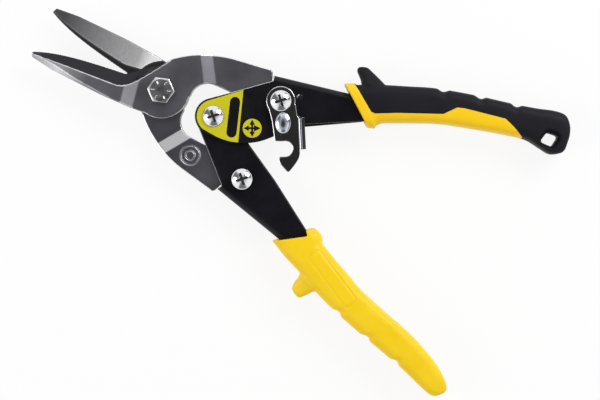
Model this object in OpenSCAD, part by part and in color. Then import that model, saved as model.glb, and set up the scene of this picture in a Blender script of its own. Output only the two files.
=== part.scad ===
// Aviation snips: compound-action shears for sheet metal, about 250 mm long when shut.
// They lie flat with the jaws open towards -X, the handles towards +X and the bolt's axis upright.
// Every outline is drawn about the main pivot, with the plane where the blades meet at height zero.

/* [Blades] */
// Thickness of a forged blade at its hub
blade_t = 5.2; // [5:0.1:5.4]
// Height of the jaw's outer face above the shearing plane, at the tip
jaw_tip_t = 2.6; // [2.2:0.1:3.2]
// The same height where the jaw leaves the hub
jaw_root_t = 4.2; // [3.8:0.1:4.6]
// Distance from the pivot to the jaws' tips
jaw_reach = 62.2; // [60:0.1:64]
// Radius of the hub
hub_r = 12.9; // [12.4:0.1:13.2]
// Depth of the hollow behind the cutting edge
hollow_depth = 0.5; // [0.2:0.1:0.8]
// Oil gap between the two blades
blade_gap = 0.1; // [0.06:0.02:0.2]

/* [Linkage] */
// Distance from the pivot to a tang's link pin
tang_arm = 55.6; // [55.2:0.1:56]
// Distance from the handle pivot to a link pin
handle_arm = 32.1; // [31.8:0.1:32.4]
// Angle of each tang from the middle line, handles open
open_angle = 21.3; // [21:0.1:21.6]

/* [Pins] */
// Diameter of the main bolt
bolt_d = 6.35; // [6:0.05:6.4]
// Width of the bolt's head and nut across flats
bolt_flats = 11.1; // [10.8:0.1:11.4]
// Outside diameter of the barrel nuts that the links turn on
barrel_d = 6; // [5.6:0.1:6.2]
// Diameter of the screws in the barrel nuts
screw_d = 4; // [3.6:0.1:4.2]
// Diameter of the screws' and barrel nuts' heads
head_d = 9.6; // [9.2:0.1:10]
// Height of those heads
head_h = 2.5; // [2.2:0.1:2.8]
// Room all round a turning pin
pin_fit = 0.05; // [0.02:0.01:0.08]
// Room all round the handle pivot in the lower handle
free_pivot_room = 0.4; // [0.35:0.05:0.5]

/* [Handles] */
// Thickness of the pressed sheet
sheet = 2; // [1.8:0.1:2.1]
// Width between the cheeks of one handle
cheek_gap = 6.3; // [6.2:0.05:6.4]
// Gap between the nested cheeks of the two handles
nest_gap = 0.15; // [0.1:0.05:0.2]
// Outside radius of the bend between a cheek and the web
bend_r = 2.6; // [2.2:0.1:3]
// Width of the two tongues inside the grip
tongue_w = 5; // [4.4:0.1:5.2]

/* [Latch] */
// Thickness of the latch plate
latch_t = 2; // [1.8:0.1:2.1]
// Radius of the latch's round head
latch_head_r = 6.7; // [6.2:0.1:7]
// Radius of the collar that the hook takes
catch_r = 3.2; // [3:0.1:3.2]
// Thickness of the washer under the latch
washer_t = 0.5; // [0.4:0.1:0.6]

/* [Grips] */
// Thickness of the grips
grip_t = 19; // [18.4:0.1:19]
// How far the front collar stands proud
collar_lip = 0.9; // [0.5:0.1:1.2]

/* [Spring] */
// Diameter of the spring wire
wire_d = 1.3; // [1.2:0.05:1.3]
// Radius of the coil at the middle of the wire
coil_r = 5.3; // [5.2:0.1:5.5]
// Length of each leg, from the coil's top to its hook
leg_len = 13.2; // [12:0.2:14]

/* [Hidden] */

$fn = 64;
far = 200;
eps = 0.01;

steel = [0.33, 0.33, 0.35];
plated = [0.72, 0.72, 0.74];
black_paint = [0.06, 0.06, 0.07];
yellow = [0.95, 0.78, 0.10];
soft_black = [0.13, 0.12, 0.14];

// Where the main pivot stands in the part's frame: the footprint's middle is the origin
grip_reach = 180.4;
upper_reach = 73.4;
lower_reach = 71.1;
floor_drop = grip_t / 2;
pivot_at = [(jaw_reach - grip_reach) / 2, (lower_reach - upper_reach) / 2, floor_drop];

// Link pins and handle pivot, handles open
upper_link = tang_arm * [cos(open_angle), sin(open_angle)];
lower_link = [upper_link.x, -upper_link.y];
handle_angle = asin(upper_link.y / handle_arm);
handle_pivot = [upper_link.x - handle_arm * cos(handle_angle), 0];

// Heights of the nested cheeks: the upper handle's near cheek is outermost in front
near_in = (cheek_gap + sheet + nest_gap) / 2;
near_out = near_in + sheet;
back_in = near_in - cheek_gap;
back_out = back_in - sheet;
tang_drop = (near_in + back_in) / 2 - (blade_t + blade_gap) / 2;
hub_top = blade_t + blade_gap / 2;

// Heights of the latch stack on the upper handle's near cheek
latch_z = near_out + washer_t + 0.05;
stack_top = latch_z + latch_t + 0.05;

// The collar's distance from the latch pivot when the handles are shut
jaw_travel = 19.5;
shut_angle = open_angle - jaw_travel / 2;
catch_far = 2 * tang_arm * sin(shut_angle);

// The web's straight run, and the tongues' run inside the grip
web_start = [43.2, 29.4];
web_end = [88.8, 39.8];
web_angle = atan2(web_end.y - web_start.y, web_end.x - web_start.x);
tongue_start = [82.8, 34.8];
tongue_angle = 23;
tongue_len = 68;
pocket_room = 0.1;

// Outline helpers
function arc(c, r, a0, a1, n) = [for (i = [0:n]) let (a = a0 + (a1 - a0) * i / n) c + r * [cos(a), sin(a)]];
function bezier(a, b, c, d, n) = [for (i = [0:n]) let (t = i / n, s = 1 - t)
    s * s * s * a + 3 * s * s * t * b + 3 * s * t * t * c + t * t * t * d];

// A smooth run through the rows of a list, with n steps between neighbours
function smooth_at(a, b, c, d, t) =
    (2 * b + (c - a) * t + (2 * a - 5 * b + 4 * c - d) * t * t + (3 * b - a - 3 * c + d) * t * t * t) / 2;
function smooth(rows, n) = let (last = len(rows) - 1) concat(
    [for (i = [0:last - 1], k = [0:n - 1])
        smooth_at(rows[max(i - 1, 0)], rows[i], rows[i + 1], rows[min(i + 2, last)], k / n)],
    [rows[last]]);

// A closed skin over rings of equal count, with flat ends
module skin(rings) {
    n = len(rings[0]);
    m = len(rings);
    points = [for (ring = rings) each ring];
    sides = [for (i = [0:m - 2], k = [0:n - 1]) let (j = (k + 1) % n) each [
        [i * n + k, (i + 1) * n + j, i * n + j],
        [i * n + k, (i + 1) * n + k, (i + 1) * n + j]]];
    start = [for (k = [1:n - 2]) [0, k, k + 1]];
    end = [for (k = [1:n - 2]) [(m - 1) * n, (m - 1) * n + k + 1, (m - 1) * n + k]];
    polyhedron(points, concat(start, sides, end));
}

module placed() { translate(pivot_at) children(); }

module turned_over() { rotate([180, 0, 0]) children(); }

// Blade outline

tip_edge = [-jaw_reach, -10.3];
tip_back = [-jaw_reach + 0.9, -12.7];
edge_root = [-18.8, -0.3];
edge_bow = [[-52, -5], [-36, -2.7]];
edge_top = [-4.8, 12.5];
window_c = [21.3, 5.1];
window_r = 8.2;
eye_r = 8;

cutting_edge = bezier(tip_edge, edge_bow[0], edge_bow[1], edge_root, 10);
back_edge = [tip_back, [-50.5, -14], [-25.4, -14.3], [-10, -13.6]];

blade_outline = concat(
    back_edge,
    arc([0, 0], hub_r, -100, 12, 18),
    arc(window_c, window_r, 190, 92, 10),
    [[28.5, 13.6], [41, 13.1]],
    arc(upper_link, eye_r, -115, 138, 22),
    [[43.7, 27.3], [42.5, 30.6], [41.4, 31.4]],
    bezier([24, 28.4], [14, 26.6], [2, 20.5], edge_top, 12),
    [for (i = [len(cutting_edge) - 1:-1:0]) cutting_edge[i]]);

// The outer face's height along the jaw, and what the taper takes off above it
jaw_tilt = 12;
face_line = [[-jaw_reach, jaw_tip_t], [-17.5, jaw_root_t], [-11, hub_top]];
function face_height(p) = lookup(p.x * cos(jaw_tilt) + p.y * sin(jaw_tilt), face_line);
module jaw_taper() {
    rotate([0, 0, jaw_tilt]) rotate([90, 0, 0]) linear_extrude(far, center = true)
        polygon(concat([[-far, jaw_tip_t - 4]], face_line, [[-11, far], [-far, far]]));
}

// Rows of the ground bevel: its foot on the cutting edge and its top line on the outer face
bevel_land = 0.4;
root_line = [-19.5, -7];
jaw_rows = 10;
root_rows = 9;
function past_first(line) = [for (i = [1:len(line) - 1]) line[i]];
foot_inset = [0.1, -0.15];
bevel_foot = [for (p = concat(
    bezier(tip_edge + [-2, -0.9], edge_bow[0], edge_bow[1], edge_root, jaw_rows),
    past_first(bezier(edge_root, [-15, 3], [-9, 8.5], edge_top + [1, 1], root_rows)))) p + foot_inset];
bevel_top = concat(
    bezier(tip_edge + [-2, -1.4], [-50, -9.8], [-32, -8.3], root_line, jaw_rows),
    past_first(bezier(root_line, [-13.5, -5.6], [-10, 3], [-2.2, 14.6], root_rows)));

module bevel_cutter() {
    over = 1.4;
    out = [-12, 16];
    skin([for (i = [0:jaw_rows + root_rows])
        let (foot = bevel_foot[i], high = foot + (bevel_top[i] - foot) * over,
             top_z = bevel_land + (face_height(bevel_top[i]) - bevel_land) * over)
        [[foot.x, foot.y, bevel_land], [foot.x + 0.1 * out.x, foot.y + 0.1 * out.y, bevel_land],
         [foot.x + out.x, foot.y + out.y, top_z], [high.x, high.y, top_z]]]);
}

// Side view of the blade along its tang: flat hub, then the crank down between the cheeks
crank_dir = 33;
crank_from = 19.85;
crank_to = 25.6;
module crank_profile() {
    low = blade_gap / 2;
    tang_low = low + tang_drop;
    tang_top = hub_top + tang_drop;
    rotate([0, 0, crank_dir]) rotate([90, 0, 0]) linear_extrude(far, center = true)
        polygon([[-far, low], [crank_from, low], [crank_to, tang_low], [far, tang_low],
                 [far, tang_top], [crank_to, tang_top], [crank_from, hub_top], [-far, hub_top]]);
}

// Chamfer along the jaw's back: place on the back edge, its width there and the jaw's height
chamfer_rows = [[tip_back + [-2, 0.4], 1.6, 2.5], [back_edge[1] + [1.3, 0], 2.4, 2.95],
                [[-38, -14.15], 1.2, 3.35], [back_edge[2] + [1.3, 0], 0.7, 3.85],
                [back_edge[3] + [-3, -0.2], -0.4, 4.4]];
chamfer_slope = 0.6;
module back_chamfer() {
    over = 3;
    skin([for (row = chamfer_rows) let (p = row[0], drop = chamfer_slope * (row[1] + over))
        [[p.x, p.y + row[1] + over, row[2] + chamfer_slope * over],
         [p.x, p.y - over, row[2] + chamfer_slope * over], [p.x, p.y - over, row[2] - drop]]]);
}

// The hollow ground into the shearing face behind the land, open at the jaw's back
module hollow() {
    translate([0, 0, -1]) linear_extrude(1 + blade_gap / 2 + hollow_depth)
        polygon(concat(bezier(tip_edge + [-1, -1.1], [-54, -7.2], [-38, -4.9], [-21, -3.4], 10),
                       arc([0, 0], hub_r + 1.2, 200, 255, 6), [[-4, -20], [-66, -20]]));
}

// Plain forging mark, two sunk rings on the tang's shearing side
mark_at = [25, 20.9];
mark_rings = [4.8, 2.5];
mark_line = 0.7;
mark_depth = 0.3;
module forging_mark() {
    for (r = mark_rings)
        translate([mark_at.x, mark_at.y, blade_gap / 2 + tang_drop - 1]) difference() {
            cylinder(h = 1 + mark_depth, r = r);
            translate([0, 0, -1]) cylinder(h = 4, r = r - mark_line);
        }
}

module blade() {
    difference() {
        intersection() {
            translate([0, 0, -5]) linear_extrude(12) polygon(blade_outline);
            crank_profile();
        }
        jaw_taper();
        bevel_cutter();
        back_chamfer();
        hollow();
        forging_mark();
        translate([0, 0, -far / 2]) cylinder(h = far, d = bolt_d + 2 * pin_fit);
        translate([upper_link.x, upper_link.y, -far / 2]) cylinder(h = far, d = barrel_d + 2 * pin_fit);
    }
}

module near_blade() { color(steel) placed() blade(); }

module far_blade() { color(steel) placed() turned_over() blade(); }

// Main pivot

bolt_head_h = 4;
bolt_turn = 20;
nut_h = floor_drop - hub_top - 0.05;
ring_h = 1.4;
ring_d = 8.6;

module hex(h) { cylinder(h = h, d = bolt_flats / cos(30), $fn = 6); }

// A hexagon whose outer corners are turned off at the top
module turned_hex(h) {
    wide = bolt_flats;
    intersection() {
        hex(h);
        rotate_extrude() polygon([[0, 0], [wide, 0], [wide, h - 1.6], [wide / 2 - 0.6, h], [0, h]]);
    }
}

module pivot_bolt() {
    color(steel) placed() {
        translate([0, 0, hub_top]) rotate([0, 0, bolt_turn]) difference() {
            turned_hex(bolt_head_h);
            for (a = [0:60:300])
                rotate([0, 0, a]) translate([3, -0.25, bolt_head_h - 0.25]) cube([1.5, 0.5, 1]);
        }
        translate([0, 0, -floor_drop + 0.6]) cylinder(h = floor_drop - 0.6 + hub_top + eps, d = bolt_d);
    }
}

module pivot_nut() {
    color(plated) placed() turned_over() translate([0, 0, hub_top + 0.05]) difference() {
        turned_hex(nut_h);
        translate([0, 0, -1]) cylinder(h = nut_h + 2, d = bolt_d + 2 * pin_fit);
        translate([0, 0, nut_h - ring_h - 0.4]) cylinder(h = ring_h + 1, d = ring_d);
    }
}

module nut_lock_ring() {
    color([0.2, 0.3, 0.5]) placed() turned_over() translate([0, 0, hub_top + 0.05 + nut_h - ring_h - 0.4])
        difference() {
            cylinder(h = ring_h, d = ring_d);
            translate([0, 0, -1]) cylinder(h = ring_h + 2, d = bolt_d + pin_fit);
        }
}

// Handles

nose_r = 8.6;
bar_inner = [65.6, 15.1];
mouth_inner = [89.8, 28.6];
bar_end = [93, 33.3];
spring_hole = handle_pivot + [leg_len, coil_r];

tongue_dir = [cos(tongue_angle), sin(tongue_angle)];
tongue_side = [sin(tongue_angle), -cos(tongue_angle)];
tongue_end = tongue_start + tongue_len * tongue_dir;

outer_run = [mouth_inner, bar_end, web_end, web_start, [44.6, 27.2], [34.2, 17.8]];

// Outermost cheek of the upper handle: a full lobe below the handle pivot, which carries the label
lobe_cheek = concat(arc(handle_pivot, nose_r, 128, 258, 12),
    bezier([30.5, -8.5], [41, -8.2], [50, -3.5], [55.2, 3], 8), [bar_inner], outer_run);

// Slim cheek: a straight inner edge that clears the other handle
function slim_cheek(r) = concat(arc(handle_pivot, r, 128, 285, 14),
    [[40, 0.2], [46.8, 3.9], bar_inner + [0, -1.2]], outer_run);

// Section of the pressed channel: x runs inwards from the web's outer face, y is height
module channel_section() {
    deep = 70;
    difference() {
        union() {
            translate([bend_r, back_out]) square([deep, near_out - back_out]);
            translate([0, back_out + bend_r]) square([deep, near_out - back_out - 2 * bend_r]);
            for (z = [back_out + bend_r, near_out - bend_r]) translate([bend_r, z]) circle(bend_r);
        }
        translate([sheet, back_in]) square([deep, cheek_gap]);
    }
}

// The channel run straight along the web
module channel() {
    back = 60;
    ahead = 70;
    translate([web_start.x, web_start.y, 0]) rotate([0, 0, web_angle]) translate([-back, 0, 0])
        rotate([90, 0, 90]) linear_extrude(back + ahead) mirror([1, 0]) channel_section();
}

// The two tongues that carry on from the cheeks into the grip, pressed a little thinner
module tongues() {
    thinner = 0.1;
    for (z = [near_in, back_out])
        translate([tongue_start.x, tongue_start.y, z + thinner]) rotate([0, 0, tongue_angle])
            translate([0, -tongue_w, 0]) cube([tongue_len, tongue_w, sheet - 2 * thinner]);
}

module handle(outer_cheek) {
    split = (near_in + back_in) / 2;
    lap = 0.5;
    difference() {
        union() {
            intersection() {
                channel();
                union() {
                    translate([0, 0, split - lap]) linear_extrude(far) polygon(outer_cheek);
                    translate([0, 0, split - far]) linear_extrude(far) polygon(slim_cheek(nose_r - 0.2));
                }
            }
            tongues();
        }
        translate([upper_link.x, upper_link.y, -far / 2]) cylinder(h = far, d = barrel_d + 2 * pin_fit);
        translate([spring_hole.x, spring_hole.y, -far]) cylinder(h = far, d = wire_d + 0.4);
    }
}

module handle_pivot_hole(room) {
    translate([handle_pivot.x, handle_pivot.y, -far / 2]) cylinder(h = far, d = barrel_d + 2 * room);
}

// The small pressed stop beside the upper link, which the open latch meets
stop_at = upper_link + [6.8, 5.4];
module latch_stop() { translate([stop_at.x, stop_at.y, near_out - 0.5]) cylinder(h = 1.6, r = 0.9); }

module upper_handle() {
    color(black_paint) placed() {
        difference() {
            handle(lobe_cheek);
            handle_pivot_hole(pin_fit);
        }
        latch_stop();
    }
}

module lower_handle() {
    color(black_paint) placed() turned_over() difference() {
        handle(slim_cheek(nose_r));
        handle_pivot_hole(free_pivot_room);
    }
}

// Link screws and barrel nuts

// Low domed head with its flat side at height zero
module domed_head() {
    rim = 0.7;
    crown_r = ((head_d / 2) ^ 2 + (head_h - rim) ^ 2) / (2 * (head_h - rim));
    cylinder(h = rim, d = head_d);
    intersection() {
        translate([0, 0, head_h - crown_r]) sphere(crown_r);
        translate([0, 0, rim / 2]) cylinder(h = head_h, d = head_d);
    }
}

recess = [5.8, 1.25, 1.5];
module cross_screw(length) {
    difference() {
        domed_head();
        for (a = [45, 135])
            rotate([0, 0, a]) translate([-recess.x / 2, -recess.y / 2, head_h - recess.z])
                cube([recess.x, recess.y, head_h]);
    }
    translate([0, 0, -length]) cylinder(h = length + eps, d = screw_d);
}

// A barrel nut with its head's flat side at height zero and its tube upwards
module barrel_nut(length) {
    difference() {
        union() {
            turned_over() domed_head();
            cylinder(h = length, d = barrel_d);
        }
        translate([0, 0, 1]) cylinder(h = far, d = screw_d + 2 * pin_fit);
    }
}

screw_len = 8;

module screw_at(p, z) { translate([p.x, p.y, z]) cross_screw(screw_len); }

module barrel_at(p, z0, z1) { translate([p.x, p.y, z0]) barrel_nut(z1 - z0); }

module handle_pivot_screw() { color(plated) placed() screw_at(handle_pivot, near_out + 0.05); }

module handle_pivot_barrel() {
    color(plated) placed() barrel_at(handle_pivot, -near_out - 0.05, near_out + 0.05);
}

module upper_link_screw() { color(plated) placed() screw_at(upper_link, stack_top); }

module upper_link_barrel() { color(plated) placed() barrel_at(upper_link, back_out, stack_top); }

module lower_link_screw() { color(plated) placed() screw_at(lower_link, stack_top); }

module lower_link_barrel() { color(plated) placed() barrel_at(lower_link, -near_out, -back_out); }

// Latch

mouth_half = catch_r + 0.25;
mouth_end = -58.4;
tab_from = [10.6, -3];
tab_to = [18.2, -16.6];
tab_rise = 4.2;
boss_at = [5.5, -8.75];
boss_turn = -63.6;
boss_half = [4.6, 3.25];
boss_h = 1.2;

module latch_plan() {
    difference() {
        union() {
            circle(latch_head_r);
            polygon(concat(
                [[-6.3, -2.3], [-4.4, -4.6], [0.4, -10.1], [5.65, -17.8], [8, -18.4], [10.6, -22],
                 [11.3, -25], [13, -26.5]],
                arc([17, -26.6], 1.5, 265, 355, 4),
                bezier([18.5, -26.6], [19.6, -22], [20, -19], tab_to, 6),
                [tab_from, [10, -2.9], [7.1, 1.2], [4, 4]]));
        }
        polygon(concat(arc([0, 0], catch_far - mouth_half, mouth_end - 40, mouth_end, 12),
                       arc([0, 0], catch_far + mouth_half, mouth_end, mouth_end - 40, 12)));
        rotate(mouth_end) translate([catch_far, 0]) circle(mouth_half);
    }
}

// The pressed oval boss: flattened rings closing towards its crown
boss_rings = 5;
boss_sides = 24;
module latch_boss() {
    foot = 0.6;
    rings = [for (i = [-1:boss_rings])
        let (a = 80 * max(i, 0) / boss_rings, z = i < 0 ? -foot : boss_h * sin(a))
        [for (k = [0:boss_sides - 1]) let (b = 360 * (k + 0.5) / boss_sides)
            [boss_half.x * cos(a) * cos(b), boss_half.y * cos(a) * sin(b), z]]];
    translate([boss_at.x, boss_at.y, latch_t]) rotate([0, 0, boss_turn]) skin(rings);
}

// The thumb tab, bent up along the arm's outer edge
module thumb_tab() {
    run = tab_to - tab_from;
    inset = 0.4;
    translate([tab_from.x, tab_from.y, 0]) rotate([0, 0, atan2(run.y, run.x)]) rotate([90, 0, 90])
        translate([0, 0, inset]) linear_extrude(norm(run) - 2 * inset)
            polygon([[-1, inset], [0.9, inset], [2.8, tab_rise], [1.2, tab_rise + inset],
                     [0.2, latch_t - inset / 2], [-1, latch_t - inset / 2]]);
}

module latch() {
    color(plated) placed() translate([upper_link.x, upper_link.y, latch_z]) difference() {
        union() {
            linear_extrude(latch_t) latch_plan();
            latch_boss();
            thumb_tab();
        }
        translate([0, 0, -1]) cylinder(h = far, d = barrel_d + 2 * pin_fit);
    }
}

module ring(h, outer, inner) {
    difference() {
        cylinder(h = h, d = outer);
        translate([0, 0, -1]) cylinder(h = h + 2, d = inner);
    }
}

module latch_washer() {
    color(plated) placed() translate([upper_link.x, upper_link.y, near_out])
        ring(washer_t, 11.5, barrel_d + 2 * pin_fit);
}

module latch_catch() {
    color(plated) placed() translate([lower_link.x, lower_link.y, -back_out])
        ring(stack_top + back_out, 2 * catch_r, screw_d + 2 * pin_fit);
}

// Spring on the handle pivot

sleeve_room = 0.08;
coil_turns = 1.5;
curl_rings = 8;
wire_sides = 6;
coil_rise = -2 * (back_in + sleeve_room) - wire_d;
hook_depth = 1.4;

module spring_sleeve() {
    color(plated) placed() translate([handle_pivot.x, handle_pivot.y, back_in + sleeve_room])
        ring(-2 * (back_in + sleeve_room), 8, barrel_d + 2 * pin_fit);
}

// The wire's middle line: hook, leg, coil, leg, hook
coil_steps = coil_turns * curl_rings;
wire_line = let (z0 = -coil_rise / 2, hook = -coil_rise / 2 - hook_depth, x1 = leg_len, bend = 0.6) concat(
    [[x1, coil_r, hook], [x1, coil_r, z0 - bend], [x1 - bend, coil_r, z0], [x1 / 2, coil_r, z0]],
    [for (i = [0:coil_steps]) let (t = i / coil_steps, a = 90 + 360 * coil_turns * t)
        [coil_r * cos(a), coil_r * sin(a), z0 + coil_rise * t]],
    [[x1 / 2, -coil_r, -z0], [x1 - bend, -coil_r, -z0], [x1, -coil_r, -z0 + bend], [x1, -coil_r, -hook]]);

function unit(v) = v / norm(v);
function run_at(line, i) = unit(line[min(i + 1, len(line) - 1)] - line[max(i - 1, 0)]);

// Rings square to the line, each turned as little as can be from the one before
function carried(line, i, side) = let (t = run_at(line, i)) unit(side - (side * t) * t);
function sides_from(line, i, side) = i == len(line) ? [] :
    let (s = carried(line, i, side)) concat([s], sides_from(line, i + 1, s));
wire_frames = sides_from(wire_line, 0, [0, 1, 0]);
wire_rings = [for (i = [0:len(wire_line) - 1])
    let (t = run_at(wire_line, i), s = wire_frames[i], u = cross(t, s))
    [for (k = [0:wire_sides - 1]) let (a = 360 * k / wire_sides)
        wire_line[i] + wire_d / 2 * (cos(a) * s + sin(a) * u)]];

// Least gap of the wire to itself, between points that aren't neighbours along it
apart = 4;
function mid_points(line) = [for (i = [0:len(line) - 2], k = [0:3])
    line[i] + (line[i + 1] - line[i]) * k / 4];
wire_points = mid_points(wire_line);
least_gap = min([for (i = [0:len(wire_points) - 1], j = [i + 4 * apart:1:len(wire_points) - 1])
    norm(wire_points[i] - wire_points[j])]) - wire_d;
echo(str("least gap of the spring to itself: ", least_gap, " mm"));

module return_spring() {
    color(plated) placed() translate([handle_pivot.x, handle_pivot.y, 0]) skin(wire_rings);
}

// Grips

grip_steps = 5;
ring_points = 20;
squareness = 4;
notch_depth = 1.3;
notch_half = 2.8;

// Rows of a grip: outer edge x, y, inner edge x, y, and half thickness
upper_rows = [
    [79.2, 42.4, 96.1, 29.0, 9.2], [84.0, 44.8, 98.4, 32.0, 9.4], [91.4, 48.4, 104.8, 35.3, 9.5],
    [102.0, 52.9, 112.8, 39.2, 9.5], [113.4, 57.6, 123.0, 43.8, 9.5], [130.6, 62.7, 139.0, 48.9, 9.3],
    [147.7, 66.9, 152.6, 52.8, 8.8], [159.4, 70.1, 161.6, 54.8, 8.2], [167.5, 72.8, 168.6, 54.2, 7.6],
    [173.0, 73.4, 174.4, 54.0, 7.2], [177.4, 68.6, 178.6, 57.4, 6.6], [179.2, 64.6, 179.4, 60.0, 4.6]];
lower_rows = [
    [83.9, -43.0, 98.2, -30.3, 9.3], [87.6, -44.5, 100.9, -31.6, 9.4], [94.3, -47.0, 108.2, -34.9, 9.5],
    [104.8, -51.6, 116.4, -38.3, 9.5], [115.0, -55.3, 123.8, -41.6, 9.5], [128.2, -59.0, 138.7, -45.9, 9.3],
    [144.3, -62.9, 152.8, -49.6, 8.8], [158.2, -66.4, 162.0, -53.0, 8.4], [168.8, -69.8, 169.6, -56.4, 8.0],
    [175.4, -71.1, 174.8, -59.6, 7.2], [179.2, -68.4, 178.6, -62.8, 5.6], [180.4, -66.4, 180.0, -64.6, 3.4]];

// Rows of the front lip, each with its share of the lip's height
upper_mouth = [[75.2, 40.2, 91.5, 28.5, 9.2, 1], [79.2, 42.4, 96.1, 29.0, 9.2, 1]];
lower_mouth = [[76.8, -39.6, 89.9, -27.0, 9.2, 0.4], [78.2, -40.3, 91.3, -26.3, 9.2, 1],
               [80.0, -41.1, 94.6, -27.4, 9.2, 1.3], [81.6, -41.9, 96.6, -28.9, 9.2, 1.2]];

// Where the finger notches sit, as x on the outer edge
upper_notches = [116.6, 133.6, 150.4];
lower_notches = [118.6, 135.6, 153];

function notch_at(x, places) =
    max([0, for (p = places) notch_depth * max(0, 1 - ((x - p) / notch_half) ^ 2)]);
function rounded(v) = sign(v) * pow(abs(v), 2 / squareness);

// One ring of a grip: a rounded box between its two edges, grown by the lip and cut in by a notch
function grip_ring(row, places = [], lip_out = 0, lip_in = 0) =
    let (o = [row[0], row[1]], i = [row[2], row[3]], across = unit(o - i),
         top = o + across * (lip_out - notch_at(row[0], places)), low = i - across * lip_in,
         mid = (top + low) / 2, half = (top - low) / 2, h = min(row[4] + lip_out, grip_t / 2))
    [for (k = [0:ring_points - 1]) let (a = 360 * k / ring_points, p = mid + half * rounded(cos(a)))
        [p.x, p.y, h * rounded(sin(a))]];

function turned_back(ring) = [for (k = [len(ring) - 1:-1:0]) ring[k]];

// A whole grip in one skin: the lip's rings, then the body's. The lower grip's lip is on its inner side only
module grip_body(mouth, rows, places, upper) {
    lip = [for (row = mouth) let (high = collar_lip * row[5])
        grip_ring(row, places, upper ? high : 0, high)];
    body = [for (row = past_first(smooth(rows, grip_steps))) grip_ring(row, places)];
    rings = concat(lip, [grip_ring(upper ? (rows[0] * 9 + rows[1]) / 10 : rows[0], places)], body);
    skin(upper ? rings : [for (ring = rings) turned_back(ring)]);
}

// Guards as rows from inside the grip out to the tip
upper_guard = [[88.5, 40.4, 94.9, 43.3, 7.6], [80.5, 45.9, 90.3, 49.2, 6.6], [77.4, 48.6, 83.8, 51.4, 5.2],
               [77.0, 50.3, 81.5, 52.1, 4.4], [78.4, 51.4, 80.3, 52.1, 3]];
lower_guard = [[106.3, -42.8, 97.9, -41.4, 7.2], [103.9, -53.2, 95.7, -49.7, 6.3],
               [102.3, -55.3, 94.7, -52.9, 5.6], [100.3, -57.6, 95.1, -55.6, 4.6],
               [98.9, -57.9, 96.9, -57.0, 3]];

module guard(rows) { skin([for (row = smooth(rows, 3)) grip_ring(row)]); }

// Pocket for the handle: its own outline with a little room, open at the mouth
module handle_pocket() {
    web_dir = [cos(web_angle), sin(web_angle)];
    web_out = pocket_room * [-web_dir.y, web_dir.x];
    side = pocket_room * tongue_side;
    ahead = pocket_room * tongue_dir;
    inner = tongue_start + tongue_w * tongue_side + side;
    outer = tongue_start - side;
    translate([0, 0, back_out - pocket_room]) linear_extrude(near_out - back_out + 2 * pocket_room)
        polygon([web_start + web_out, web_end + web_out + ahead, outer + 8 * tongue_dir,
                 tongue_end - side + ahead, tongue_end + tongue_w * tongue_side + side + ahead,
                 inner + 10 * tongue_dir, bar_end + side + ahead, mouth_inner + side + ahead,
                 bar_inner + 4 * side]);
}

// The hang eye near the end of the upper grip: corners of its plan, rounded, and flared to both faces
eye_corners = [[169, 57.9], [173, 58.1], [173.4, 61.8], [169.7, 61.3]];
eye_levels = [[-12, 4.9], [-3.4, 1], [3.4, 1], [12, 4.9]];

// A ring at radius r round the corners of a plan that runs counter-clockwise
function heading(v) = atan2(v.y, v.x);
function round_ring(corners, r, z, steps) = let (n = len(corners)) [for (k = [0:n - 1])
    let (p = corners[k], a = heading(p - corners[(k + n - 1) % n]), b = heading(corners[(k + 1) % n] - p))
    each [for (q = arc(p, r, a - 90, a - 90 + (b - a + 360) % 360, steps)) [q.x, q.y, z]]];

module hang_eye() { skin([for (level = eye_levels) round_ring(eye_corners, level[1], level[0], 5)]); }

// Plan of the yellow core: the collar and the strip along the inner edge
core_plan = [[68, 47], [78.6, 42.6], [91.4, 34.2], [93.3, 34.2], [102.8, 39.2], [121.8, 48.1],
             [123.6, 50.4], [126.2, 53.6], [129.5, 54.8], [148.4, 58.9], [153.6, 57.3], [159.4, 54.8],
             [160, 48], [96, 20], [68, 24]];

module upper_grip_whole() {
    difference() {
        union() {
            grip_body(upper_mouth, upper_rows, upper_notches, true);
            guard(upper_guard);
        }
        handle_pocket();
        hang_eye();
    }
}

module core_prism() { translate([0, 0, -far / 2]) linear_extrude(far) polygon(core_plan); }

module upper_grip_core() {
    color(yellow) placed() resize([0, 0, 0]) intersection() {
        upper_grip_whole();
        core_prism();
    }
}

module upper_grip_cover() {
    color(soft_black) placed() resize([0, 0, 0]) difference() {
        upper_grip_whole();
        core_prism();
    }
}

module lower_grip() {
    color(yellow) placed() resize([0, 0, 0]) difference() {
        union() {
            grip_body(lower_mouth, lower_rows, lower_notches, false);
            guard(lower_guard);
        }
        turned_over() handle_pocket();
    }
}

near_blade();
far_blade();
pivot_bolt();
pivot_nut();
nut_lock_ring();
upper_handle();
lower_handle();
handle_pivot_screw();
handle_pivot_barrel();
upper_link_screw();
upper_link_barrel();
lower_link_screw();
lower_link_barrel();
spring_sleeve();
return_spring();
latch();
latch_washer();
latch_catch();
upper_grip_core();
upper_grip_cover();
lower_grip();
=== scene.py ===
"""Aviation snips lying open on a white table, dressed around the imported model.

Shapes are written in millimetres about the main pivot, with the plane where the blades meet at height
zero, and `at()` carries them into the part's frame in metres.
"""
import math

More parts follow.
